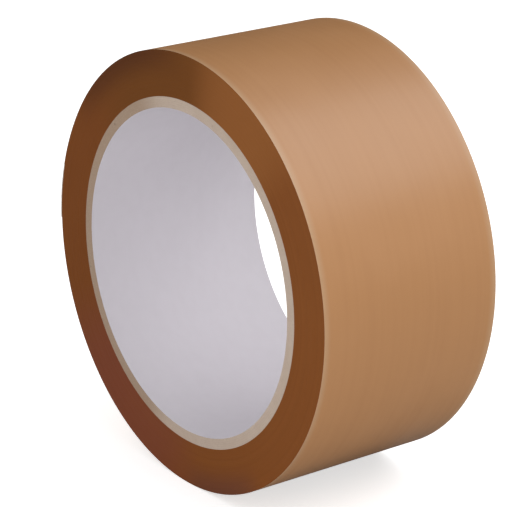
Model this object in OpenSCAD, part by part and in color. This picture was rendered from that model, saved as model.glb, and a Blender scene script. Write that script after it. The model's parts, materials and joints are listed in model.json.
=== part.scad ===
// Roll of brown packaging tape wound on a spiral paperboard core, in millimetres.
// The roll's axis lies along Y and the origin is the centre of the bore, so the roll
// stands on its rim as a wheel does, with Z up. Angles run from +X towards +Z.

/* [Core] */
// Bore of the core, which slides over a dispenser's hub
bore_d = 76.2; // [50:0.1:152.4]
// How far each end of the core stands out past the tape
core_proud = 0; // [-1:0.1:2]
// Thickness of the paper liner that faces the bore
liner_t = 0.25; // [0.1:0.01:0.6]
// Number of board plies between the two liners
ply_count = 4; // [2:1:8]
// Thickness of one board ply
ply_t = 0.49; // [0.2:0.01:1]
// Thickness of the paper liner that the tape is wound on
face_t = 0.25; // [0.1:0.01:0.6]
// Advance of the plies' strips along the axis in one turn
strip_lead = 140; // [60:5:400]
// Gap between the edges of a ply's strip at its seam
seam_gap = 0.2; // [0.1:0.05:1]
// Angle of the bore liner's seam at the middle of the core
seam_at = 15; // [0:5:355]

/* [Tape] */
// Width of the tape
tape_w = 48; // [12:1:150]
// Length of tape on the core, in metres
tape_l = 66; // [10:1:150]
// Thickness of the plastic film
film_t = 0.028; // [0.02:0.001:0.06]
// Thickness of the adhesive coat under the film
adhesive_t = 0.018; // [0.01:0.001:0.04]

/* [Free end] */
// Angle of the line where the free end leaves the roll
peel_at = 150; // [110:1:170]
// Length of the free end from that line to its cut edge
tail_l = 22; // [12:1:40]
// Thickness of the paper tab stuck under the free end
tab_t = 0.1; // [0.05:0.01:0.3]
// Length of the tab that the free end covers
tab_under = 9; // [4:0.5:11]
// Length of the tab that stands out past the cut edge
tab_out = 5; // [2:0.5:15]

/* [Clearances] */
// Bond line between glued or stuck faces
bond = 0.01; // [0.005:0.005:0.03]
// Clearance between the roll and the free end's pieces
tail_clear = 0.1; // [0.05:0.01:0.3]
// Gap in the film at the peel line, where it bends
bend_gap = 0.2; // [0.1:0.05:0.5]

/* [Hidden] */
$fn = 96;
// Overrun of a cut past the faces that it goes through
over = 1;
// Straight steps in a helical seam, and sides of its slit's outline
seam_steps = 16;
slit_sides = 4;
// Angle of one straight step of the last turn's coil
coil_step = 2;
// Angle of the point where the roll touches the ground
ground_at = 270;

// Core: as wide as the tape, with its plies counted from 0 at the bore liner outwards
core_w = tape_w + 2 * core_proud;
bore_r = bore_d / 2;
outer_ply = ply_count + 1;
function ply_in(i) = bore_r + (i == 0 ? 0 : liner_t + bond + (i - 1) * (ply_t + bond));
function ply_wall(i) = i == 0 ? liner_t : i == outer_ply ? face_t : ply_t;
core_r = ply_in(outer_ply) + face_t;
seam_stagger = 360 / (outer_ply + 1);

// Tape: the length wound on the core sets the roll's radius
tape_t = film_t + adhesive_t;
wound_r = core_r + bond;
roll_r = sqrt(pow(wound_r, 2) + 1000 * tape_l * tape_t / PI);
last_r = roll_r - 1.5 * tape_t;

// Free end: it starts at the peel line and ends at the tape's cut edge
function arc_deg(length) = length / roll_r * 180 / PI;
tape_end = peel_at + arc_deg(tail_l);
tail_r = last_r + tape_t + tail_clear;
hinge_r = tail_r + tape_t / 2;
tab_r = tail_r - bond - tab_t;
tail_spring = atan((bond + tab_t) / (tail_l - tab_under - bend_gap));

// Last turn: a coil that starts under the tape's end and climbs by one thickness on the
// way round. A step of it is centred on the ground, so that the roll stands.
coil_first = (ground_at + coil_step / 2 - tape_end + 360) % coil_step;
coil_grid = [coil_first : coil_step : 360];
function coil_angles(from, to) =
    concat([from], [for (a = coil_grid) if (a > from + coil_step / 10 && a < to - coil_step / 10) a], [to]);
function coil_point(a, height) =
    (last_r + tape_t * a / 360 + height) * [cos(tape_end + a), sin(tape_end + a)];
function coil_line(angles, height) = [for (a = angles) coil_point(a, height)];
function backwards(list) = [for (i = [len(list) - 1 : -1 : 0]) list[i]];

// Turns a shape drawn about Z so that its axis is the roll's
module on_axis() {
    rotate([90, 0, 0]) children();
}

// Part of a ring about Z, from one angle to another, as wide as w
module arc_ring(r, wall, w, from, to) {
    rotate([0, 0, from])
        rotate_extrude(angle = to - from)
            translate([r, -w / 2])
                square([wall, w]);
}

// Slit along the helix where the edges of ply i's strip meet
module seam_slit(i) {
    slit_w = core_w + 2 * over;
    slit_turn = 360 * slit_w / strip_lead;
    rotate([0, 0, seam_at + i * seam_stagger + slit_turn / 2])
        linear_extrude(
            height = slit_w, center = true, twist = slit_turn, slices = seam_steps, segments = slit_sides
        )
            translate([ply_in(i) - over, -seam_gap / 2])
                square([ply_wall(i) + 2 * over, seam_gap]);
}

// One ply of the core: a strip of paper or board wound into a tube
module core_ply(i) {
    on_axis()
        difference() {
            cylinder(r = ply_in(i) + ply_wall(i), h = core_w, center = true);
            cylinder(r = ply_in(i), h = core_w + 2 * over, center = true);
            seam_slit(i);
        }
}

// Places the free end at rest: its tab holds it a little off the roll at the cut edge
module about_peel_line() {
    on_axis()
        rotate([0, 0, peel_at])
            translate([hinge_r, 0, 0])
                rotate([0, 0, -tail_spring])
                    translate([-hinge_r, 0, 0])
                        children();
}

module core_inner_liner() {
    color("#bcb7bd") core_ply(0);
}

module core_board_ply(i) {
    color("#a99a8a") core_ply(i);
}

module core_outer_liner() {
    color("#a08d78") core_ply(outer_ply);
}

// All turns of tape under the last one, stuck together into one ring
module tape_winding() {
    color("#774625")
        on_axis()
            difference() {
                linear_extrude(height = tape_w, center = true)
                    polygon(coil_line(coil_angles(0, 360), 0));
                cylinder(r = wound_r, h = tape_w + 2 * over, center = true);
            }
}

// The last turn of tape, from the end of the winding to the peel line
module tape_outer_turn() {
    angles = coil_angles(arc_deg(bond), 360 - arc_deg(tail_l + bend_gap / 2));
    color("#b88a62")
        on_axis()
            linear_extrude(height = tape_w, center = true)
                polygon(concat(coil_line(angles, tape_t), backwards(coil_line(angles, bond))));
}

// The free end of the tape, past the peel line
module tape_tail() {
    color("#b88a62")
        about_peel_line()
            arc_ring(tail_r, tape_t, tape_w, arc_deg(bend_gap / 2), arc_deg(tail_l));
}

// Paper tab stuck to the adhesive under the free end, so that a finger can lift it
module finger_tab() {
    color("#e6e1d8")
        about_peel_line()
            arc_ring(tab_r, tab_t, tape_w, arc_deg(tail_l - tab_under), arc_deg(tail_l + tab_out));
}

core_inner_liner();
for (i = [1 : ply_count])
    core_board_ply(i);
core_outer_liner();
tape_winding();
tape_outer_turn();
tape_tail();
finger_tab();
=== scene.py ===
"""Dresses a roll of brown packaging tape: film, wound edges, paperboard core and free end.

The roll's axis is Y, the bore is centred on the origin and the roll stands on its rim. Lengths are in
metres and angles in radians, measured from +X towards +Z, unless a name says otherwise.
"""

import json
import logging
import math
from dataclasses import dataclass, fields
from enum import Enum
from typing import Any, Iterable, Mapping, Sequence, Union

import bmesh
import bpy
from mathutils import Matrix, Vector

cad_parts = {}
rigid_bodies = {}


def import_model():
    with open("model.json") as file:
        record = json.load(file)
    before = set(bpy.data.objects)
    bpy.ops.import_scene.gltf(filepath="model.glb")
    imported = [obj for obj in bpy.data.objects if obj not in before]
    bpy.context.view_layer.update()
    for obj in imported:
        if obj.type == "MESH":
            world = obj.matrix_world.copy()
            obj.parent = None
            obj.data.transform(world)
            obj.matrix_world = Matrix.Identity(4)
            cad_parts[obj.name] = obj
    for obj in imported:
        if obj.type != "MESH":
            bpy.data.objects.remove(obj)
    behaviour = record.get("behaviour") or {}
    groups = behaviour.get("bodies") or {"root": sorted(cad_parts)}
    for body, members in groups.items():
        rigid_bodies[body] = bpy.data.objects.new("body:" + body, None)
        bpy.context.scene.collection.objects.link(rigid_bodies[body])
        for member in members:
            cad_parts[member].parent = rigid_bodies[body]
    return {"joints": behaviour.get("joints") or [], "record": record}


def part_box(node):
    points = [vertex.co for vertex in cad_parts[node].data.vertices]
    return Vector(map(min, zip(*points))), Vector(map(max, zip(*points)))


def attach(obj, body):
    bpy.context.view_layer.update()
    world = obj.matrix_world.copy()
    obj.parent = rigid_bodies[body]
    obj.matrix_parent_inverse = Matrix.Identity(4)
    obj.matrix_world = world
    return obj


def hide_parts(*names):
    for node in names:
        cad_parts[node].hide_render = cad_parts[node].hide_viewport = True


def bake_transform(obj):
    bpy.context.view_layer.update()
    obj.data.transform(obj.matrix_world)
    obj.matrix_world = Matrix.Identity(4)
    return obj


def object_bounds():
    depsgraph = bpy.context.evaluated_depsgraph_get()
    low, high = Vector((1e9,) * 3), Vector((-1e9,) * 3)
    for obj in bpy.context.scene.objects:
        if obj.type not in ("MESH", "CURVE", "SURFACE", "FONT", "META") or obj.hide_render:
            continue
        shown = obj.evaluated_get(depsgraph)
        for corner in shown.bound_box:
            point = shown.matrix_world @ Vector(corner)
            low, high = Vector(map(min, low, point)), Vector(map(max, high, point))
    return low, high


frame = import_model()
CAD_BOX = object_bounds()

LOG = logging.getLogger("tape_roll")
# A point's place on its strip: metres along, metres across, and depth from 0 at its inner face to 1
STRIP = "strip_place"
# Marks of the faces on a strip's two cut sides and on its inner face
CUT_SIDE = "cut_side"
UNDERSIDE = "underside"
FULL_TURN = 2 * math.pi
MM_PER_METRE = 1000
# The middle of a pattern's range and of a strip's depth, which both go from 0 to 1
MIDDLE = 0.5
PURE_WHITE = (1.0, 1.0, 1.0)

Colour = tuple[float, float, float]
Term = Union["Value", float]
# A node's properties, and the values or links of its sockets by name or number
Settings = Mapping[str, Any] | None
Inputs = Mapping[str | int, Any] | None


class Body(Enum):
    """The bodies that a piece may ride on."""

    ROLL = "roll"
    TAIL = "tail"


class Slot(Enum):
    """The record's material slots."""

    LINER = "liner_paper"
    BOARD = "core_board"
    EDGE = "tape_edge"
    FILM = "tape_film"
    TAB = "tab_paper"


class Value:
    """A node's output. An expression on values adds Math nodes to the tree that they belong to."""

    def __init__(self, graph: "Graph", socket: bpy.types.NodeSocket) -> None:
        """Keeps the socket and the graph that it belongs to."""
        self.graph = graph
        self.socket = socket

    def __add__(self, other: Term) -> "Value":
        """Adds a term."""
        return self.graph.math("ADD", self, other)

    __radd__ = __add__

    def __sub__(self, other: Term) -> "Value":
        """Takes a term away."""
        return self.graph.math("SUBTRACT", self, other)

    def __rsub__(self, other: Term) -> "Value":
        """Takes this value from a number."""
        return self.graph.math("SUBTRACT", other, self)

    def __mul__(self, other: Term) -> "Value":
        """Multiplies by a term."""
        return self.graph.math("MULTIPLY", self, other)

    __rmul__ = __mul__

    def __truediv__(self, other: Term) -> "Value":
        """Divides by a term."""
        return self.graph.math("DIVIDE", self, other)

    def __rtruediv__(self, other: Term) -> "Value":
        """Divides a number by this value."""
        return self.graph.math("DIVIDE", other, self)

    def __abs__(self) -> "Value":
        """Drops the sign."""
        return self.graph.math("ABSOLUTE", self)

    def __gt__(self, other: Term) -> "Value":
        """Gives 1 where this value is the greater, and 0 elsewhere."""
        return self.graph.math("GREATER_THAN", self, other)

    def __lt__(self, other: Term) -> "Value":
        """Gives 1 where this value is the smaller, and 0 elsewhere."""
        return self.graph.math("LESS_THAN", self, other)

    def root(self) -> "Value":
        """Takes the square root."""
        return self.graph.math("SQRT", self)

    def sine(self) -> "Value":
        """Takes the sine."""
        return self.graph.math("SINE", self)

    def cosine(self) -> "Value":
        """Takes the cosine."""
        return self.graph.math("COSINE", self)

    def sign(self) -> "Value":
        """Gives 1 above zero and -1 below it."""
        return self.graph.math("SIGN", self)

    def larger(self, other: Term) -> "Value":
        """Takes the larger of two values."""
        return self.graph.math("MAXIMUM", self, other)

    def rise(self, low: float, high: float) -> "Value":
        """Goes smoothly from 0 to 1.

        Args:
            low: where the result is 0.
            high: where the result is 1, above low.
        Returns:
            The smooth step.
        """
        settings = {"interpolation_type": "SMOOTHSTEP"}
        inputs = {"Value": self, "From Min": low, "From Max": high, "To Min": 0.0, "To Max": 1.0}
        return self.graph.get("ShaderNodeMapRange", settings, inputs)


class Graph:
    """Builds one node tree."""

    def __init__(self, tree: bpy.types.NodeTree) -> None:
        """Keeps the tree and empties it."""
        self.tree = tree
        tree.nodes.clear()

    def node(self, kind: str, settings: Settings = None, inputs: Inputs = None) -> bpy.types.Node:
        """Adds a node.

        Args:
            kind: the node's type.
            settings: its properties, which are set first.
            inputs: the values or links of its sockets.
        Returns:
            The new node.
        """
        made = self.tree.nodes.new(kind)
        for name, value in (settings or {}).items():
            setattr(made, name, value)
        for name, value in (inputs or {}).items():
            socket = self.pick(made.inputs, name)
            if isinstance(value, Value):
                self.tree.links.new(value.socket, socket)
            elif socket.type == "RGBA" and len(value) == 3:
                socket.default_value = (*value, 1.0)
            else:
                socket.default_value = value
        return made

    def get(
        self, kind: str, settings: Settings = None, inputs: Inputs = None, output: str | int = 0
    ) -> Value:
        """Adds a node, as node does, and gives one of its outputs by name or number."""
        made = self.node(kind, settings, inputs)
        return Value(self, self.pick(made.outputs, output))

    @staticmethod
    def pick(sockets: Sequence[bpy.types.NodeSocket], name: str | int) -> bpy.types.NodeSocket:
        """Finds a socket among those in use.

        Args:
            sockets: a node's inputs or outputs.
            name: the socket's name, or its number among those in use.
        Returns:
            The socket.
        """
        used = [socket for socket in sockets if socket.enabled]
        if isinstance(name, int):
            return used[name]
        return next(socket for socket in used if socket.name == name)

    def math(self, operation: str, *terms: Term) -> Value:
        """Adds a Math node with an operation and its terms."""
        return self.get("ShaderNodeMath", {"operation": operation}, dict(enumerate(terms)))

    def vector(self, x: Term, y: Term, z: Term) -> Value:
        """Joins three values into a vector."""
        return self.get("ShaderNodeCombineXYZ", None, {"X": x, "Y": y, "Z": z})

    def split(self, vector: Value) -> list[Value]:
        """Takes a vector apart into its x, y and z."""
        parts = self.node("ShaderNodeSeparateXYZ", None, {0: vector})
        return [Value(self, part) for part in parts.outputs]

    def noise(self, place: Value, detail: float = 2.0) -> Value:
        """Adds smooth noise about its middle, with features about one unit wide and finer layers."""
        inputs = {"Vector": place, "Scale": 1.0, "Detail": detail}
        return self.get("ShaderNodeTexNoise", {"noise_dimensions": "3D"}, inputs)

    def mix(self, share: Term, first: Any, second: Any) -> Value:
        """Mixes two colours, or Values that hold them, with a share from 0 to 1 of the second."""
        inputs = {"Factor": share, "A": first, "B": second}
        return self.get("ShaderNodeMix", {"data_type": "RGBA", "blend_type": "MIX"}, inputs, "Result")

    def strip_place(self) -> list[Value]:
        """Reads a point's place on its strip: along, across and depth."""
        settings = {"attribute_type": "GEOMETRY", "attribute_name": STRIP}
        return self.split(self.get("ShaderNodeAttribute", settings, None, "Vector"))

    def object_place(self) -> list[Value]:
        """Reads a point's place in the roll's frame: its x, y and z."""
        return self.split(self.get("ShaderNodeTexCoord", None, None, "Object"))


def new_material(name: str) -> tuple[bpy.types.Material, Graph]:
    """Makes a material with no nodes yet.

    Args:
        name: the material's name.
    Returns:
        The material and its graph.
    """
    made = bpy.data.materials.new(name)
    made.use_nodes = True
    return made, Graph(made.node_tree)


def add_object(name: str, data: bpy.types.ID) -> bpy.types.Object:
    """Adds an object to the scene.

    Args:
        name: its name.
        data: its mesh, lamp or camera.
    Returns:
        The object, at the origin.
    """
    made = bpy.data.objects.new(name, data)
    bpy.context.scene.collection.objects.link(made)
    return made


@dataclass(frozen=True)
class Pattern:
    """Smooth noise on a surface, and the colour, dullness and relief that it brings.

    Attributes:
        along: features to the metre along a strip, or along X and Z.
        across: features to the metre across a strip, or along Y.
        layer: sets it apart from the other patterns on a strip.
        detail: how many finer layers it has.
        colour: the colour that it brings, if any.
        low: its value at which that colour starts to show.
        high: its value from which that colour shows in full.
        share: how strongly that colour shows there.
        dulls: swing of the roughness with it.
        height: its part in the relief.
    """

    along: float
    across: float
    layer: float = 0.0
    detail: float = 2.0
    colour: Colour | None = None
    low: float = 0.0
    high: float = 1.0
    share: float = 1.0
    dulls: float = 0.0
    height: float = 0.0

    def on_strip(self, along: Value, across: Value) -> Value:
        """Reads the noise at a place on a strip."""
        place = along.graph.vector(along * self.along, across * self.across, self.layer)
        return along.graph.noise(place, self.detail)

    def in_space(self, x: Value, y: Value, z: Value) -> Value:
        """Reads the noise at a point of the roll's frame."""
        place = x.graph.vector(x * self.along, y * self.across, z * self.along)
        return x.graph.noise(place, self.detail)


@dataclass(frozen=True)
class Tone:
    """A colour that shows on one side of the roll, used here for painted light and shade and for one
    redder tint.

    Attributes:
        colour: the colour.
        side: angle of the side's middle, in degrees.
        fade: cosine of the angle from the middle at which it has faded out.
        full: cosine of the angle from the middle up to which it shows fully.
        share: how strongly it shows there.
    """

    colour: Colour
    side: float
    fade: float
    full: float
    share: float = 0.8

    def share_at(self, x: Value, z: Value) -> Value:
        """Tells how strongly the tone shows at a point.

        Args:
            x: the point's place along X.
            z: the point's place along Z.
        Returns:
            The share, from 0 to 1.
        """
        angle = math.radians(self.side)
        facing = (x * math.cos(angle) + z * math.sin(angle)) / (x * x + z * z).root()
        return facing.rise(self.fade, self.full) * self.share


@dataclass
class Paint:
    """The look of a surface, built up one layer after another.

    Attributes:
        graph: the material's graph.
        colour: the colour so far.
        roughness: the roughness so far.
        height: the relief so far.
    """

    graph: Graph
    colour: Any
    roughness: Term
    height: Term = 0.0

    def lay(self, colour: Colour, share: Value) -> None:
        """Lays a colour over those below it, as strongly as a share from 0 to 1 says."""
        self.colour = self.graph.mix(share, self.colour, colour)

    def add(self, pattern: Pattern, noise: Value) -> None:
        """Adds what a pattern brings.

        Args:
            pattern: the pattern.
            noise: its noise on the surface.
        """
        if pattern.colour:
            self.lay(pattern.colour, noise.rise(pattern.low, pattern.high) * pattern.share)
        if pattern.dulls:
            self.roughness = self.roughness + (noise - MIDDLE) * pattern.dulls
        if pattern.height:
            self.height = self.height + noise * pattern.height


@dataclass(frozen=True, kw_only=True)
class Finish:
    """A surface finish. Its patterns follow the strip, unless a kind of finish lays them on otherwise.

    Attributes:
        ground: its colour under the patterns.
        roughness: its middle roughness.
        relief: depth of its relief.
        patterns: its patterns, in the order in which they are laid on.
        shine: strength of its reflections.
    """

    ground: Colour
    roughness: float
    relief: float
    patterns: tuple[Pattern, ...]
    shine: float = 0.5

    def material(self, name: str) -> bpy.types.Material:
        """Makes the finish's material.

        Args:
            name: the material's name.
        Returns:
            The material.
        """
        made, graph = new_material(name)
        paint = Paint(graph, self.ground, self.roughness)
        self.lay_on(paint)
        bump = {"Strength": 1.0, "Distance": self.relief, "Height": paint.height}
        surface = {
            "Base Color": paint.colour,
            "Roughness": paint.roughness,
            "Specular IOR Level": self.shine,
            "Normal": graph.get("ShaderNodeBump", None, bump),
        }
        shader = graph.get("ShaderNodeBsdfPrincipled", None, surface)
        graph.node("ShaderNodeOutputMaterial", None, {"Surface": shader})
        return made

    def lay_on(self, paint: Paint) -> None:
        """Lays on the patterns.

        Args:
            paint: the paint to add them to.
        """
        along, across, _ = paint.graph.strip_place()
        for pattern in self.patterns:
            paint.add(pattern, pattern.on_strip(along, across))


@dataclass(frozen=True, kw_only=True)
class FilmFinish(Finish):
    """Tan polypropylene film with a soft gloss, and a painted highlight along its two edges.

    Attributes:
        half_width: half the film's width.
        edge: colour of the painted highlight along its two edges.
        edge_highlight_share: how strongly that colour shows.
        edge_highlight_band: width of the band at each edge in which it comes in.
    """

    half_width: float
    edge: Colour = (0.490, 0.292, 0.158)
    edge_highlight_share: float = 0.9
    edge_highlight_band: float = 0.0020
    ground: Colour = (0.452, 0.222, 0.090)
    roughness: float = 0.36
    relief: float = 0.000040
    shine: float = 0.45
    # Streaks of its coating, hazy swells where it isn't quite stuck down, and fine grain
    patterns: tuple[Pattern, ...] = (
        Pattern(
            along=8.0, across=650.0, layer=1.0, detail=3.0, dulls=0.08, height=0.049,
            colour=(0.430, 0.206, 0.082), low=0.35, high=0.70, share=0.6,
        ),
        Pattern(
            along=42.0, across=55.0, layer=5.0, dulls=0.12, height=1.0,
            colour=(0.475, 0.238, 0.102), low=0.45, high=0.75, share=0.5,
        ),
        Pattern(along=700.0, across=2200.0, layer=9.0, detail=1.0, height=0.021),
    )

    def lay_on(self, paint: Paint) -> None:
        """Lays on the patterns, and the painted highlight along the edges over them.

        Args:
            paint: the paint to add them to.
        """
        super().lay_on(paint)
        _, across, _ = paint.graph.strip_place()
        # Painted highlight: the film is paler towards its two edges
        in_edge_highlight = abs(across).rise(self.half_width - self.edge_highlight_band, self.half_width)
        paint.lay(self.edge, in_edge_highlight * self.edge_highlight_share)


@dataclass(frozen=True, kw_only=True)
class AdhesiveFinish(Finish):
    """The sticky underside of the film: brown, wet-looking and uneven from being pulled off."""

    ground: Colour = (0.330, 0.145, 0.052)
    roughness: float = 0.22
    relief: float = 0.000015
    # Pale blotches, and ribs along the film
    patterns: tuple[Pattern, ...] = (
        Pattern(
            along=160.0, across=160.0, layer=2.0, detail=3.0, dulls=0.2, height=0.5,
            colour=(0.400, 0.200, 0.085), low=0.40, high=0.70,
        ),
        Pattern(along=25.0, across=900.0, layer=6.0, height=0.5),
    )


@dataclass(frozen=True, kw_only=True)
class EdgeFinish(Finish):
    """Hundreds of film edges seen from the side: dark brown, satin, with fine rings, and painted light
    and shade round the roll.

    Attributes:
        rim_shade_from: radius at which the painted shade on the rim starts to show.
        rim_shade_to: radius from which it shows in full.
    """

    DARK = (0.188, 0.056, 0.0095)
    # Painted shade on the left and on top, a redder tone at lower left, and painted light at upper
    # right
    PAINTED_LIGHT_SHADE_AND_RED_TONES = (
        Tone((0.189, 0.0530, 0.0070), side=178.0, fade=0.25, full=0.80),
        Tone((0.150, 0.0490, 0.0055), side=103.0, fade=0.75, full=1.00),
        Tone((0.213, 0.0550, 0.0285), side=238.0, fade=0.75, full=1.00),
        Tone((0.303, 0.1080, 0.0255), side=62.0, fade=0.90, full=1.00),
    )
    # Painted shade: the outer rim is darker near the top and near the bottom
    RIM_PAINTED_SHADE = (
        Tone((0.078, 0.0205, 0.0052), side=119.0, fade=0.85, full=1.00, share=0.75),
        Tone((0.150, 0.0520, 0.0340), side=286.0, fade=0.94, full=1.00, share=0.7),
    )

    rim_shade_from: float
    rim_shade_to: float
    ground: Colour = (0.240, 0.075, 0.0150)
    roughness: float = 0.46
    relief: float = 0.000020
    shine: float = 0.1
    # Bands of turns, single turns, and pale patches
    patterns: tuple[Pattern, ...] = (
        Pattern(
            along=900.0, across=9.0, layer=4.0, detail=1.0, height=0.4,
            colour=DARK, low=0.30, high=0.70, share=0.25,
        ),
        Pattern(
            along=5200.0, across=9.0, dulls=0.12, height=0.6,
            colour=DARK, low=0.40, high=0.75, share=0.25,
        ),
        Pattern(
            along=28.0, across=5.0, dulls=0.1,
            colour=(0.290, 0.099, 0.0210), low=0.50, high=0.80, share=0.25,
        ),
    )

    def lay_on(self, paint: Paint) -> None:
        """Lays on rings that follow the turns, and painted light and shade round the roll, with a
        redder tone at lower left.

        Args:
            paint: the paint to add them to.
        """
        x, y, z = paint.graph.object_place()
        radius = (x * x + z * z).root()
        # The side, -1 or 1, stands in for the place across, so that the two sides differ
        side = y.sign()
        bands, rings, patches = self.patterns
        paint.add(bands, bands.on_strip(radius, side))
        for tone in self.PAINTED_LIGHT_SHADE_AND_RED_TONES:
            paint.lay(tone.colour, tone.share_at(x, z))
        # Painted shade that comes in towards the outer rim
        in_rim_shade = radius.rise(self.rim_shade_from, self.rim_shade_to)
        for tone in self.RIM_PAINTED_SHADE:
            paint.lay(tone.colour, tone.share_at(x, z) * in_rim_shade)
        paint.add(rings, rings.on_strip(radius, side))
        paint.add(patches, patches.in_space(x, side, z))


@dataclass(frozen=True, kw_only=True)
class BoardFinish(Finish):
    """Cut grey-brown chipboard, with painted shade on one side of the roll and glue at each ply's
    faces.

    Attributes:
        glue: colour of the glue.
        glue_share: how strongly that colour shows.
        glue_from: distance from the middle of a ply's depth at which it comes in.
    """

    # Painted shade: the board is darker on the left side of the roll
    PAINTED_SHADE = Tone((0.376, 0.262, 0.182), side=181.0, fade=0.15, full=0.45, share=0.95)

    glue: Colour = (0.422, 0.324, 0.251)
    glue_share: float = 0.35
    glue_from: float = 0.36
    ground: Colour = (0.537, 0.423, 0.338)
    roughness: float = 0.88
    relief: float = 0.000030
    # Pale clouds, and dark fibres
    patterns: tuple[Pattern, ...] = (
        Pattern(
            along=350.0, across=350.0, height=0.3,
            colour=(0.580, 0.470, 0.385), low=0.35, high=0.70, share=0.5,
        ),
        Pattern(
            along=2600.0, across=2600.0, detail=3.0, dulls=0.12, height=0.7,
            colour=(0.466, 0.363, 0.282), low=0.50, high=0.75, share=0.5,
        ),
    )

    def lay_on(self, paint: Paint) -> None:
        """Lays on the clouds, the painted shade on one side, the fibres and the glue.

        Args:
            paint: the paint to add them to.
        """
        _, _, depth = paint.graph.strip_place()
        x, y, z = paint.graph.object_place()
        clouds, fibres = self.patterns
        paint.add(clouds, clouds.in_space(x, y, z))
        paint.lay(self.PAINTED_SHADE.colour, self.PAINTED_SHADE.share_at(x, z))
        paint.add(fibres, fibres.in_space(x, y, z))
        at_face = abs(depth - MIDDLE).rise(self.glue_from, MIDDLE)
        paint.lay(self.glue, at_face * self.glue_share)


def paper_finish(paper: Colour, cloud: Colour, fibre: Colour) -> Finish:
    """Gives smooth paper with a faint cloudy formation and fine fibres along the strip.

    Args:
        paper: its colour.
        cloud: colour of its clouds.
        fibre: colour of its fibres.
    Returns:
        The finish.
    """
    clouds = Pattern(
        along=260.0, across=320.0, layer=3.0, detail=3.0, height=0.4,
        colour=cloud, low=0.35, high=0.70, share=0.6,
    )
    fibres = Pattern(
        along=700.0, across=3400.0, layer=8.0, detail=3.0, dulls=0.12, height=0.6,
        colour=fibre, low=0.55, high=0.80, share=0.4,
    )
    return Finish(ground=paper, roughness=0.72, relief=0.000008, patterns=(clouds, fibres))


@dataclass(frozen=True)
class Strip:
    """A strip of film, paper or board, bent round the roll's axis.

    Attributes:
        start: angle of its first end, at the middle of its width.
        sweep: angle from its first end to its last.
        inner: radius of its inner face at the first end.
        wall: its thickness at the first end.
        width: its width along the axis.
        climb: rise of the inner face's radius from the first end to the last.
        swell: rise of the thickness from the first end to the last.
        slant: angle by which the far side runs ahead of the near one.
        ragged: greatest depth of the unevenness of its cut sides.
        ragged_along: uneven places to the metre along it.
        ragged_deep: uneven places to the metre through it.
        seed: which unevenness it has.
        along: faces along it.
        across: faces across it.
        through: faces through it.
        ring: whether its ends meet and are joined.
    """

    start: float
    sweep: float
    inner: float
    wall: float
    width: float
    climb: float = 0.0
    swell: float = 0.0
    slant: float = 0.0
    ragged: float = 0.0
    ragged_along: float = 0.0
    ragged_deep: float = 0.0
    seed: float = 0.0
    along: int = 180
    across: int = 8
    through: int = 1
    ring: bool = False


@dataclass(frozen=True)
class Coat:
    """The materials of a strip's outer face and ends, of its cut sides and of its inner face."""

    face: bpy.types.Material
    side: bpy.types.Material
    under: bpy.types.Material


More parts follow.
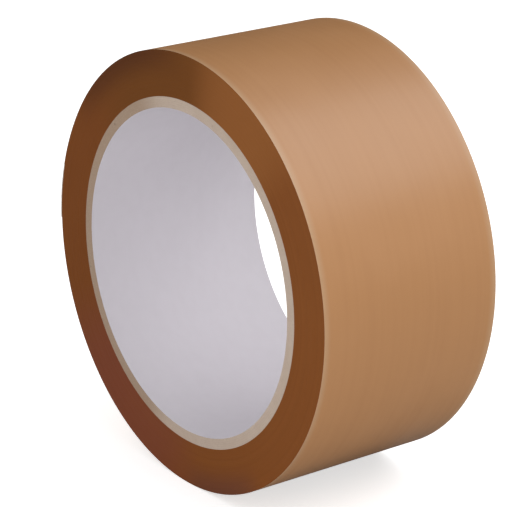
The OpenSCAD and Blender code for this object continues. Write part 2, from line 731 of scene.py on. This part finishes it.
class StripBender:
    """Geometry Nodes that bend a strip round the roll's axis and give its faces their materials."""

    # The kind of the group's input for each kind of field of a Strip or a Coat
    SOCKETS = {
        float: "NodeSocketFloat",
        int: "NodeSocketInt",
        bool: "NodeSocketBool",
        bpy.types.Material: "NodeSocketMaterial",
    }
    # Half the side of the box of faces that is bent
    HALF_BOX = 0.5
    # A face whose middle is this far from the box's middle lies on the box's rim
    RIM = 0.4999
    # Points of a ring's two ends that are nearer than this are joined
    JOIN = 0.0001
    # Sets the unevenness of the two sides apart
    SIDES_APART = 50.0
    # A corner sharper than this stays sharp in the shading
    CREASE = math.radians(40.0)

    def __init__(self) -> None:
        """Makes the node group with its named inputs, and wires it."""
        self.tree = bpy.data.node_groups.new("bent_strip", "GeometryNodeTree")
        self.graph = Graph(self.tree)
        self.ids: dict[str, str] = {}
        sockets = self.tree.interface
        for field in (*fields(Strip), *fields(Coat)):
            kind = self.SOCKETS[field.type]
            made = sockets.new_socket(name=field.name, in_out="INPUT", socket_type=kind)
            self.ids[field.name] = made.identifier
        sockets.new_socket(name="mesh", in_out="OUTPUT", socket_type="NodeSocketGeometry")
        self.wire()

    def wire(self) -> None:
        """Wires the group: a box of faces is marked, bent, closed where it is a ring, and dressed."""
        graph = self.graph
        entry = graph.node("NodeGroupInput")
        given = {socket.name: Value(graph, socket) for socket in entry.outputs if socket.name}
        points = {
            "Size": (2 * self.HALF_BOX, 2 * self.HALF_BOX, 2 * self.HALF_BOX),
            "Vertices X": given["along"] + 1,
            "Vertices Y": given["across"] + 1,
            "Vertices Z": given["through"] + 1,
        }
        mesh = graph.get("GeometryNodeMeshCube", None, points)
        lengthways, across, upwards = graph.split(graph.get("GeometryNodeInputPosition"))
        along = lengthways + self.HALF_BOX
        depth = upwards + self.HALF_BOX
        on_side = abs(across) > self.RIM
        on_end = abs(lengthways) > self.RIM
        angle = given["start"] + given["sweep"] * along + given["slant"] * across
        wall = given["wall"] + given["swell"] * along
        radius = given["inner"] + given["climb"] * along + wall * depth
        width = given["width"] * across
        x = angle.cosine() * radius
        z = angle.sine() * radius
        layer = radius * given["ragged_deep"] + across.sign() * self.SIDES_APART + given["seed"]
        spot = graph.vector(x * given["ragged_along"], z * given["ragged_along"], layer)
        cut = graph.noise(spot) * given["ragged"] * on_side
        bent = graph.vector(x, width - across.sign() * cut, z)
        mesh = self.keep(mesh, CUT_SIDE, "BOOLEAN", "FACE", on_side)
        mesh = self.keep(mesh, UNDERSIDE, "BOOLEAN", "FACE", upwards < -self.RIM)
        place = graph.vector(angle * given["inner"], width, depth)
        mesh = self.keep(mesh, STRIP, "FLOAT_VECTOR", "CORNER", place)
        open_ends = {"Geometry": mesh, "Selection": on_end * given["ring"]}
        mesh = graph.get("GeometryNodeDeleteGeometry", {"domain": "FACE"}, open_ends)
        mesh = graph.get("GeometryNodeSetPosition", None, {"Geometry": mesh, "Position": bent})
        mesh = graph.get("GeometryNodeFlipFaces", None, {"Mesh": mesh})
        joined = {"Geometry": mesh, "Selection": given["ring"], "Distance": self.JOIN}
        mesh = graph.get("GeometryNodeMergeByDistance", None, joined)
        mesh = graph.get("GeometryNodeRealizeInstances", None, {"Geometry": mesh})
        faced = {"Geometry": mesh, "Material": given["face"]}
        mesh = graph.get("GeometryNodeSetMaterial", None, faced)
        stored = {"data_type": "BOOLEAN"}
        for mark, name in ((UNDERSIDE, "under"), (CUT_SIDE, "side")):
            marked = graph.get("GeometryNodeInputNamedAttribute", stored, {"Name": mark})
            dressed = {"Geometry": mesh, "Selection": marked, "Material": given[name]}
            mesh = graph.get("GeometryNodeSetMaterial", None, dressed)
        graph.node("NodeGroupOutput", None, {"mesh": mesh})

    def keep(self, mesh: Value, name: str, kind: str, domain: str, value: Value) -> Value:
        """Stores a value on a mesh under a name.

        Args:
            mesh: the mesh.
            name: the attribute's name.
            kind: its data type.
            domain: what it is stored on.
            value: the value.
        Returns:
            The mesh with the attribute.
        """
        settings = {"data_type": kind, "domain": domain}
        inputs = {"Geometry": mesh, "Name": name, "Value": value}
        return self.graph.get("GeometryNodeStoreNamedAttribute", settings, inputs)

    def make(self, name: str, strip: Strip, coat: Coat) -> bpy.types.Object:
        """Makes one bent strip as a plain mesh.

        Args:
            name: the piece's name.
            strip: its sizes.
            coat: its materials.
        Returns:
            The piece, at the origin.
        """
        piece = add_object(name, bpy.data.meshes.new(f"{name}_start"))
        bend = piece.modifiers.new("bend", "NODES")
        bend.node_group = self.tree
        for key, value in {**vars(strip), **vars(coat)}.items():
            bend[self.ids[key]] = value
        view = bpy.context.evaluated_depsgraph_get()
        mesh = bpy.data.meshes.new_from_object(piece.evaluated_get(view))
        piece.modifiers.remove(bend)
        piece.data = mesh
        mesh.shade_smooth()
        mesh.set_sharp_from_angle(angle=self.CREASE)
        return piece


@dataclass(frozen=True)
class RollSizes:
    """The roll's sizes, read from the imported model.

    Attributes:
        width: width of the tape and of the core.
        bore: radius of the bore.
        plies: outer radius of each layer of the core, from the bore outwards.
        lap: radius of the winding where the last turn starts.
        peel: angle of the line where the free end leaves the roll.
        end: angle of the tape's cut edge.
        end_radius: radius of the free end's outer face at the cut edge.
        tab: angles of the finger tab's two ends.
        hinge: the middle of the peel line.
        film: thickness of the tape.
        bond: thickness of the glue or adhesive between two faces.
    """

    width: float
    bore: float
    plies: tuple[float, ...]
    lap: float
    peel: float
    end: float
    end_radius: float
    tab: tuple[float, float]
    hinge: Vector
    film: float = 0.000046
    bond: float = 0.000010

    @classmethod
    def read(cls, layers: Iterable[str]) -> "RollSizes":
        """Reads the sizes from the frame.

        Args:
            layers: the nodes of the core's layers, from the bore outwards.
        Returns:
            The sizes.
        """
        mounts = frame["record"]["mounts"]
        bore = next(mount for mount in mounts if mount["name"] == "core_bore")
        joint = next(joint for joint in frame["joints"] if joint["name"] == "tail_lift")
        hinge = Vector(joint["pos_m"])
        low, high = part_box("tape_winding")
        tail_low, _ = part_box("tape_tail")
        tab_low, tab_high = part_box("finger_tab")
        end = math.atan2(tail_low.z, tail_low.x)
        end_radius = tail_low.x / math.cos(end)
        top_turn = (math.pi / 2 - end) % FULL_TURN / FULL_TURN
        tab = tuple(math.pi - math.asin(height / end_radius) for height in (tab_high.z, tab_low.z))
        return cls(
            width=high.y - low.y,
            bore=bore["dims"]["r_mm"] / MM_PER_METRE,
            plies=tuple(max(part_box(layer)[1]) for layer in layers),
            lap=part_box("tape_outer_turn")[1].z - cls.film * (1 + top_turn),
            peel=math.atan2(hinge.z, hinge.x),
            end=end, end_radius=end_radius, tab=tab, hinge=hinge,
        )


def place_piece(piece: bpy.types.Object, body: Body, node: str) -> None:
    """Puts a finished piece in the place of its CAD node and reports it.

    Args:
        piece: the piece.
        body: the body that it rides on.
        node: the CAD node that it stands for.
    """
    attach(piece, body.value)
    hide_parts(node)
    LOG.info("%s rides on %s and stands for %s", piece.name, body.value, node)


@dataclass
class RollPart:
    """A sub-assembly of the roll.

    Attributes:
        sizes: the roll's sizes.
        bender: what bends its strips.
    """

    sizes: RollSizes
    bender: StripBender


@dataclass
class TapePart(RollPart):
    """A sub-assembly that is made of tape.

    Attributes:
        film: material of the film's outer face.
        adhesive: material of the film's inner face.
    """

    film: bpy.types.Material
    adhesive: bpy.types.Material


@dataclass
class PaperCore(RollPart):
    """The core: a liner, board plies and an outer liner, each a strip wound on a slant into a tube.

    Attributes:
        lead: advance of a strip along the axis in one turn.
        seam_at: angle of the bore liner's seam at the middle of the core.
        seam_gap: gap between a strip's edges at its seam.
        fuzz: depth of the unevenness of the cut ends.
        first_seed: which unevenness the bore liner has; each layer has the next.
    """

    lead: float = 0.140
    seam_at: float = math.radians(15.0)
    seam_gap: float = 0.0002
    fuzz: float = 0.00005
    first_seed: float = 10.0

    # Pale lavender-grey paper
    LINER = paper_finish(
        paper=(0.670, 0.637, 0.679), cloud=(0.652, 0.618, 0.659), fibre=(0.694, 0.661, 0.701)
    )
    # The CAD node of each layer, from the bore outwards, and the piece that stands for it
    PIECES = {
        "core_inner_liner": "bore_liner",
        "core_ply_1": "board_ply_1",
        "core_ply_2": "board_ply_2",
        "core_ply_3": "board_ply_3",
        "core_ply_4": "board_ply_4",
        "core_outer_liner": "face_liner",
    }

    def build(self) -> None:
        """Makes the six tubes, dresses them and puts them in place."""
        liner = self.LINER.material("bore_liner_paper")
        board = BoardFinish().material("cut_board")
        inner = self.sizes.bore
        for number, (node, name) in enumerate(self.PIECES.items()):
            outer = self.sizes.plies[number]
            is_liner = number == 0
            face = liner if is_liner else board
            piece = self.bender.make(name, self.tube(number, inner, outer), Coat(face, board, face))
            place_piece(piece, Body.ROLL, node)
            inner = outer + self.sizes.bond

    def tube(self, number: int, inner: float, outer: float) -> Strip:
        """Works out one tube.

        Args:
            number: the layer's number, from 0 at the bore.
            inner: its inner radius.
            outer: its outer radius.
        Returns:
            The strip that makes it.
        """
        gap = self.seam_gap / inner
        return Strip(
            start=self.seam_at + FULL_TURN * number / len(self.PIECES) + gap / 2,
            sweep=FULL_TURN - gap,
            inner=inner, wall=outer - inner, width=self.sizes.width,
            slant=FULL_TURN * self.sizes.width / self.lead,
            ragged=self.fuzz, ragged_along=900.0, ragged_deep=2500.0, seed=self.first_seed + number,
            along=360, across=24,
        )


@dataclass
class TapeWinding(TapePart):
    """The wound tape: the turns that show only their edges, and the last turn of film over them.

    Attributes:
        stagger: how far the turns' edges are out of line.
        rim_shade_share: share of the winding's depth at which its rim's painted shade starts.
    """

    stagger: float = 0.00004
    rim_shade_share: float = 0.3

    def build(self) -> None:
        """Makes the winding and its last turn, dresses them and puts them in place."""
        inner = self.sizes.plies[-1]
        outer = self.sizes.lap
        rim_shade_from = inner + (outer - inner) * self.rim_shade_share
        edges = EdgeFinish(rim_shade_from=rim_shade_from, rim_shade_to=outer).material("wound_edges")
        wound = self.bender.make("wound_turns", self.turns(), Coat(self.film, edges, edges))
        place_piece(wound, Body.ROLL, "tape_winding")
        last = self.bender.make("last_turn", self.last_turn(), Coat(self.film, edges, self.adhesive))
        place_piece(last, Body.ROLL, "tape_outer_turn")

    def turns(self) -> Strip:
        """Works out the turns under the last one.

        Returns:
            One ring whose rim climbs by one thickness of tape.
        """
        inner = self.sizes.plies[-1] + self.sizes.bond
        return Strip(
            start=self.sizes.end, sweep=FULL_TURN,
            inner=inner, wall=self.sizes.lap - inner, width=self.sizes.width, swell=self.sizes.film,
            ragged=self.stagger, ragged_along=12.0, ragged_deep=1800.0, seed=3.0,
            along=480, across=2, through=72, ring=True,
        )

    def last_turn(self) -> Strip:
        """Works out the last turn.

        Returns:
            A strip from above the winding's end to the peel line.
        """
        sweep = self.sizes.peel + FULL_TURN - self.sizes.end
        return Strip(
            start=self.sizes.end, sweep=sweep,
            inner=self.sizes.lap + self.sizes.bond,
            wall=self.sizes.film - self.sizes.bond,
            width=self.sizes.width, climb=self.sizes.film * sweep / FULL_TURN,
            along=480, across=12,
        )


@dataclass
class FreeEnd(TapePart):
    """The end of the tape that lifts off the roll, and the paper tab stuck under it.

    Attributes:
        last: the last turn, which the free end goes on from.
        tab_wall: thickness of the tab.
        tab_fuzz: depth of the unevenness of the tab's sides.
        bend: length of film past the peel line; its end point is worked out but not used.
    """

    last: Strip
    tab_wall: float = 0.0001
    tab_fuzz: float = 0.00003
    bend: float = 0.0009

    # Off-white paper
    PAPER = paper_finish(
        paper=(0.790, 0.750, 0.680), cloud=(0.750, 0.705, 0.630), fibre=(0.830, 0.800, 0.740)
    )

    def build(self) -> None:
        """Makes the free end and its tab, dresses them and puts them in place."""
        end = self.bender.make("free_end", self.strip(), Coat(self.film, self.film, self.adhesive))
        along = Vector((-math.sin(self.sizes.peel), 0.0, math.cos(self.sizes.peel)))
        start = self.sizes.hinge
        tuple(start + along * self.bend)
        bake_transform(end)
        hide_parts("tape_tail")
        LOG.info("%s bends from %s to %s", end.name, Body.ROLL.value, Body.TAIL.value)
        paper = self.PAPER.material("tab_paper_face")
        tab = self.bender.make("tab_strip", self.tab(), Coat(paper, paper, paper))
        place_piece(tab, Body.TAIL, "finger_tab")

    def strip(self) -> Strip:
        """Works out the free end.

        Returns:
            A strip that goes on from the last turn and rises to its cut edge.
        """
        inner = self.last.inner + self.last.climb
        return Strip(
            start=self.sizes.peel, sweep=self.sizes.end - self.sizes.peel,
            inner=inner, wall=self.last.wall, width=self.sizes.width,
            climb=self.sizes.end_radius - self.last.wall - inner,
            along=300, across=24,
        )

    def tab(self) -> Strip:
        """Works out the tab.

        Returns:
            A strip that lies against the free end's underside and stands out past it.
        """
        end = self.strip()
        first, last = self.sizes.tab
        slope = end.climb / end.sweep
        return Strip(
            start=first, sweep=last - first,
            inner=end.inner + slope * (first - end.start) - self.sizes.bond - self.tab_wall,
            wall=self.tab_wall, width=self.sizes.width, climb=slope * (last - first),
            ragged=self.tab_fuzz, ragged_along=800.0, seed=31.0,
            along=56, across=24,
        )


def direction(azimuth: float, elevation: float) -> Vector:
    """Gives the unit vector from the roll's middle towards a place round it.

    Args:
        azimuth: degrees from -Y towards +X.
        elevation: degrees above the ground.
    Returns:
        The vector.
    """
    turn = math.radians(azimuth)
    tilt = math.radians(elevation)
    level = math.cos(tilt)
    return Vector((math.sin(turn) * level, -math.cos(turn) * level, math.sin(tilt)))


def add_sheet(name: str, shape: bmesh.types.BMesh, material: bpy.types.Material) -> bpy.types.Object:
    """Adds a flat piece of the studio to the scene.

    Args:
        name: its name.
        shape: its faces, which are freed.
        material: its material.
    Returns:
        The piece, at the origin.
    """
    mesh = bpy.data.meshes.new(name)
    shape.to_mesh(mesh)
    shape.free()
    mesh.materials.append(material)
    return add_object(name, mesh)


@dataclass(frozen=True)
class Softbox:
    """A rectangular lamp that faces the roll.

    Attributes:
        name: its name.
        azimuth: its direction in degrees, from -Y towards +X.
        elevation: its height in degrees.
        distance: its distance from the roll's middle.
        size: its width and height.
        radiance: its brightness, where 1 is white.
        in_gloss: whether it shows in reflections.
    """

    name: str
    azimuth: float
    elevation: float
    distance: float
    size: tuple[float, float]
    radiance: float
    in_gloss: bool = True

    def build(self) -> None:
        """Makes the lamp."""
        data = bpy.data.lights.new(self.name, "AREA")
        data.shape = "RECTANGLE"
        data.size, data.size_y = self.size
        data.energy = self.radiance * math.pi * self.size[0] * self.size[1]
        lamp = add_object(self.name, data)
        lamp.visible_glossy = self.in_gloss
        towards = direction(self.azimuth, self.elevation)
        lamp.location = towards * self.distance
        lamp.rotation_euler = towards.to_track_quat("Z", "Y").to_euler()


@dataclass(frozen=True)
class DarkCard:
    """A dark card on the floor, seen only in reflections, that keeps white off the film's edge.

    Attributes:
        name: its name.
        azimuth: its direction in degrees, from -Y towards +X.
        distance: its distance from the roll's middle.
        size: its width and height.
        tone: its grey.
    """

    name: str
    azimuth: float
    distance: float
    size: tuple[float, float]
    tone: float = 0.03

    def build(self, ground: float) -> None:
        """Makes the card.

        Args:
            ground: height of the floor.
        """
        away = direction(self.azimuth, 0.0)
        sideways = Vector((-away.y, away.x, 0.0))
        foot = away * self.distance + Vector((0.0, 0.0, ground))
        half = sideways * self.size[0] / 2
        up = Vector((0.0, 0.0, self.size[1]))
        shape = bmesh.new()
        corners = [foot - half, foot + half, foot + half + up, foot - half + up]
        shape.faces.new([shape.verts.new(corner) for corner in corners])
        made, graph = new_material(self.name)
        matt = graph.get("ShaderNodeBsdfDiffuse", None, {"Color": (self.tone, self.tone, self.tone)})
        graph.node("ShaderNodeOutputMaterial", None, {"Surface": matt})
        card = add_sheet(self.name, shape, made)
        card.visible_camera = False
        card.visible_diffuse = False
        card.visible_shadow = False


@dataclass
class Studio:
    """The white floor and surroundings, the lamps and the camera.

    Attributes:
        ground: height of the floor.
        azimuth: the camera's direction in degrees, from -Y towards +X.
        elevation: the camera's height in degrees.
        distance: the camera's distance from the bore's middle.
        focal: the camera's focal length in pixels of the picture.
        centre: where the bore's middle shows in the picture, in pixels.
        picture: the picture's size in pixels.
        ambient: strength of the light from all round.
        bounce: tone of the floor where it throws light back on the roll.
        painted_shadow_at: x and y of the middle of a painted shadow beside the film, a place of the
            floor that throws no light back.
        painted_shadow_half: half the length of that painted shadow, along Y.
        painted_shadow_reach: distance from that place at which the floor throws all its light back
            again.
        gloss_tone: tone of the floor in reflections.
        glow: how far the floor is lifted to white for the camera.
        gloss_glow: share of that lift in reflections, which keeps the shadow under the roll in them.
    """

    ground: float
    azimuth: float = 53.04
    elevation: float = 19.36
    distance: float = 0.5853
    focal: float = 2537.4
    centre: tuple[float, float] = (269.53, 253.14)
    picture: tuple[int, int] = (532, 507)
    ambient: float = 0.55
    bounce: float = 0.86
    painted_shadow_at: tuple[float, float] = (0.024, 0.016)
    painted_shadow_half: float = 0.018
    painted_shadow_reach: float = 0.036
    gloss_tone: float = 0.2
    glow: float = 0.6
    gloss_glow: float = 0.1

    # Tone of the floor to the camera, before the glow
    FLOOR_WHITE = 0.9
    FLOOR_RADIUS = 4.0
    FLOOR_SIDES = 96
    SENSOR_MM = 36.0
    # Nearest and farthest that the camera sees
    SIGHT = (0.01, 20.0)
    LAMPS = (
        Softbox(
            name="front_softbox", azimuth=48.0, elevation=5.0, distance=0.70,
            size=(0.80, 0.24), radiance=2.55, in_gloss=False,
        ),
        Softbox(
            name="top_softbox", azimuth=145.0, elevation=48.0, distance=0.80,
            size=(0.70, 0.54), radiance=2.35,
        ),
        Softbox(
            name="left_softbox", azimuth=288.0, elevation=14.0, distance=0.80,
            size=(0.40, 0.30), radiance=1.6,
        ),
    )
    CARD = DarkCard(name="dark_card", azimuth=230.0, distance=0.65, size=(1.0, 0.8))

    def build(self) -> None:
        """Makes the camera, the lamps, the surroundings and the floor."""
        self.add_camera()
        for lamp in self.LAMPS:
            lamp.build()
        self.CARD.build(self.ground)
        self.add_world()
        self.add_floor()
        bpy.context.scene.view_settings.view_transform = "Standard"

    def add_camera(self) -> None:
        """Makes the camera at the photograph's viewing angle."""
        data = bpy.data.cameras.new("camera")
        data.sensor_fit = "HORIZONTAL"
        data.sensor_width = self.SENSOR_MM
        wide, high = self.picture
        data.lens = self.focal / wide * self.SENSOR_MM
        data.shift_x = (wide / 2 - self.centre[0]) / wide
        data.shift_y = (self.centre[1] - high / 2) / wide
        data.clip_start, data.clip_end = self.SIGHT
        camera = add_object("camera", data)
        back = direction(self.azimuth, self.elevation)
        camera.location = back * self.distance
        camera.rotation_euler = back.to_track_quat("Z", "Y").to_euler()
        bpy.context.scene.camera = camera

    @staticmethod
    def seen_directly(graph: Graph, in_gloss: float = 1.0) -> Value:
        """Tells the rays that see the background from those that light the roll.

        Args:
            graph: the graph of the background's material or of the world.
            in_gloss: how strongly a reflection shows it.
        Returns:
            1 for rays of the camera and of glass, in_gloss for those of gloss, and 0 for the others.
        """
        path = graph.node("ShaderNodeLightPath")
        kinds = ("Is Camera Ray", "Is Transmission Ray", "Is Glossy Ray")
        camera, glass, gloss = (Value(graph, path.outputs[kind]) for kind in kinds)
        return camera.larger(glass).larger(gloss * in_gloss)

    def floor_tone(self, graph: Graph) -> Value:
        """Gives the floor's tone: white to the camera, darker in reflections and as a light, with a
        painted shadow beside the film where it throws no light back.

        Args:
            graph: the graph of the floor's material.
        Returns:
            The tone.
        """
        x, y, _ = graph.object_place()
        # Painted shadow in the light the floor throws back: none beside the film, rising to full
        # further away
        ahead = x - self.painted_shadow_at[0]
        past = (abs(y - self.painted_shadow_at[1]) - self.painted_shadow_half).larger(0.0)
        away = (ahead * ahead + past * past).root()
        bounce = away.rise(0.0, self.painted_shadow_reach) * self.bounce
        gloss = graph.get("ShaderNodeLightPath", None, None, "Is Glossy Ray")
        tone = bounce + gloss * (self.gloss_tone - bounce)
        return tone + self.seen_directly(graph, 0.0) * (self.FLOOR_WHITE - tone)

    def add_world(self) -> None:
        """Makes the surroundings: white to look at, and dimmer as a light."""
        world = bpy.data.worlds.new("surroundings")
        world.use_nodes = True
        graph = Graph(world.node_tree)
        seen = self.seen_directly(graph)
        strength = seen * (1.0 - self.ambient) + self.ambient
        light = graph.get("ShaderNodeBackground", None, {"Color": PURE_WHITE, "Strength": strength})
        graph.node("ShaderNodeOutputWorld", None, {"Surface": light})
        bpy.context.scene.world = world

    def add_floor(self) -> None:
        """Makes the floor that the roll stands on."""
        shape = bmesh.new()
        bmesh.ops.create_circle(
            shape, cap_ends=True, radius=self.FLOOR_RADIUS, segments=self.FLOOR_SIDES
        )
        bmesh.ops.translate(shape, verts=shape.verts, vec=(0.0, 0.0, self.ground))
        floor = add_sheet("floor", shape, self.floor_material())

    def floor_material(self) -> bpy.types.Material:
        """Makes the floor's white, which keeps the roll's shadow.

        Returns:
            The material.
        """
        made, graph = new_material("white_floor")
        tone = self.floor_tone(graph)
        matt = graph.get("ShaderNodeBsdfDiffuse", None, {"Color": graph.vector(tone, tone, tone)})
        strength = self.seen_directly(graph, self.gloss_glow) * self.glow
        lift = graph.get("ShaderNodeEmission", None, {"Color": PURE_WHITE, "Strength": strength})
        both = graph.get("ShaderNodeAddShader", None, {0: matt, 1: lift})
        graph.node("ShaderNodeOutputMaterial", None, {"Surface": both})
        return made


def main() -> None:
    """Builds the roll and the studio, and reports each piece that rides on a body."""
    logging.basicConfig(level=logging.INFO, format="%(name)s: %(message)s")
    sizes = RollSizes.read(PaperCore.PIECES)
    bender = StripBender()
    film = FilmFinish(half_width=sizes.width / 2).material("tape_film_face")
    adhesive = AdhesiveFinish().material("tape_adhesive")
    PaperCore(sizes, bender).build()
    winding = TapeWinding(sizes, bender, film, adhesive)
    winding.build()
    FreeEnd(sizes, bender, film, adhesive, winding.last_turn()).build()
    Studio(ground=CAD_BOX[0].z).build()


if __name__ == "__main__":
    main()
